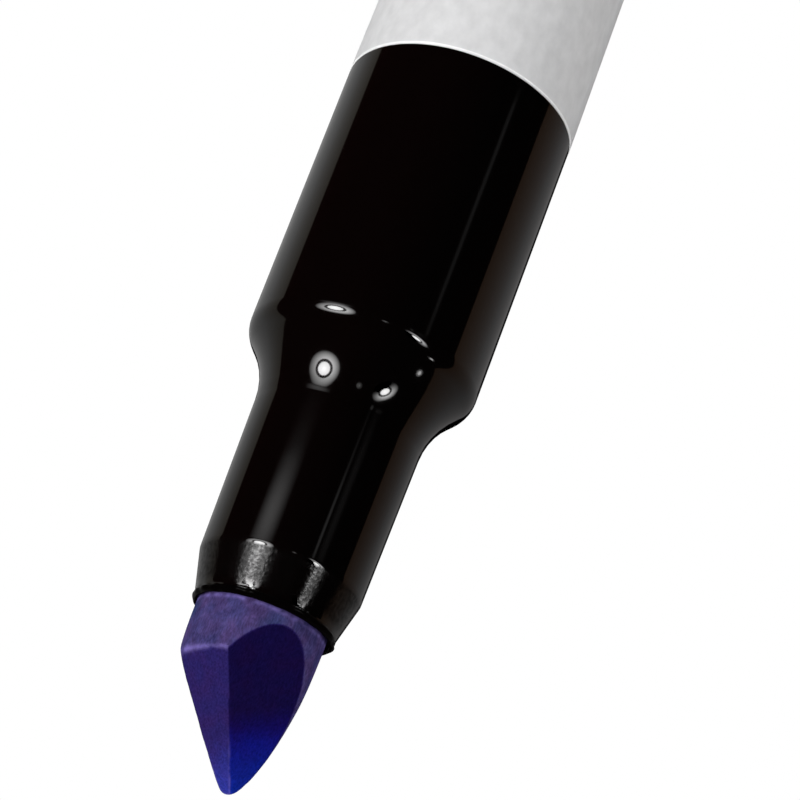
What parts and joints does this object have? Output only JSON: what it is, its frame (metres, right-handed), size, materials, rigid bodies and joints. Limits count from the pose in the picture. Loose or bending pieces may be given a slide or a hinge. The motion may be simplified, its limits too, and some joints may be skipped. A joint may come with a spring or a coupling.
{
  "type": "furniture touch-up marker",
  "caption": "Round felt-tip marker for touching up furniture: grey barrel, stepped black nose, faceted purple-blue nib on a spring valve, and a clip cap posted on the tail.",
  "frame": {"origin": "centre of the flat closed end of the cap, which is posted on the barrel's tail and which the marker stands on", "axes": "+Z along the barrel's axis towards the nib; -Y is the side with the cap's clip and the two flats of the nib that the picture shows"},
  "size_m": [0.0194, 0.0222, 0.162],
  "materials": {
    "barrel_plastic": "moulded, satin, light grey",
    "black_plastic": "moulded, high gloss, black",
    "nib_felt": "pressed felt soaked in purple-blue stain",
    "buffer_felt": "porous fibre, undyed",
    "natural_plastic": "moulded, natural, matt",
    "seal_rubber": "soft, matt",
    "spring_steel": "drawn wire",
    "ball_steel": "polished"
  },
  "bodies": {
    "barrel": {"barrel": "barrel_plastic", "tail_plug": "black_plastic", "front_section": "black_plastic", "buffer_sleeve": "buffer_felt", "valve_gasket": "seal_rubber", "valve_housing": "natural_plastic", "valve_seat": "seal_rubber", "valve_spring": "spring_steel", "spring_retainer": "natural_plastic"},
    "nib": {"nib": "nib_felt"},
    "valve_plunger": {"valve_plunger": "natural_plastic"},
    "mixing_ball_1": {"mixing_ball_1": "ball_steel"},
    "mixing_ball_2": {"mixing_ball_2": "ball_steel"},
    "cap": {"cap": "black_plastic", "cap_liner": "natural_plastic"}
  },
  "joints": [
    {"name": "nib_press", "type": "slide", "parent": "barrel", "child": "nib", "axis": [0, 0, -1], "range_m": [0, 0.002], "stiffness_N_per_m": 600, "springref_m": -0.0015},
    {"name": "valve_lift", "type": "slide", "parent": "barrel", "child": "valve_plunger", "axis": [0, 0, -1], "range_m": [0, 0.002], "deforming": ["valve_spring"]},
    {"name": "ball_1_roll", "type": "slide", "parent": "barrel", "child": "mixing_ball_1", "axis": [0, 0, 1], "range_m": [0, 0.0565]},
    {"name": "ball_2_roll", "type": "slide", "parent": "barrel", "child": "mixing_ball_2", "axis": [0, 0, 1], "range_m": [0, 0.0565]},
    {"name": "cap_pull", "type": "slide", "parent": "cap", "child": "barrel", "axis": [0, 0, 1], "range_m": [0, 0.03]}
  ],
  "couplings": [
    {"joint": "valve_lift", "follows": "nib_press", "ratio": 1}
  ]
}
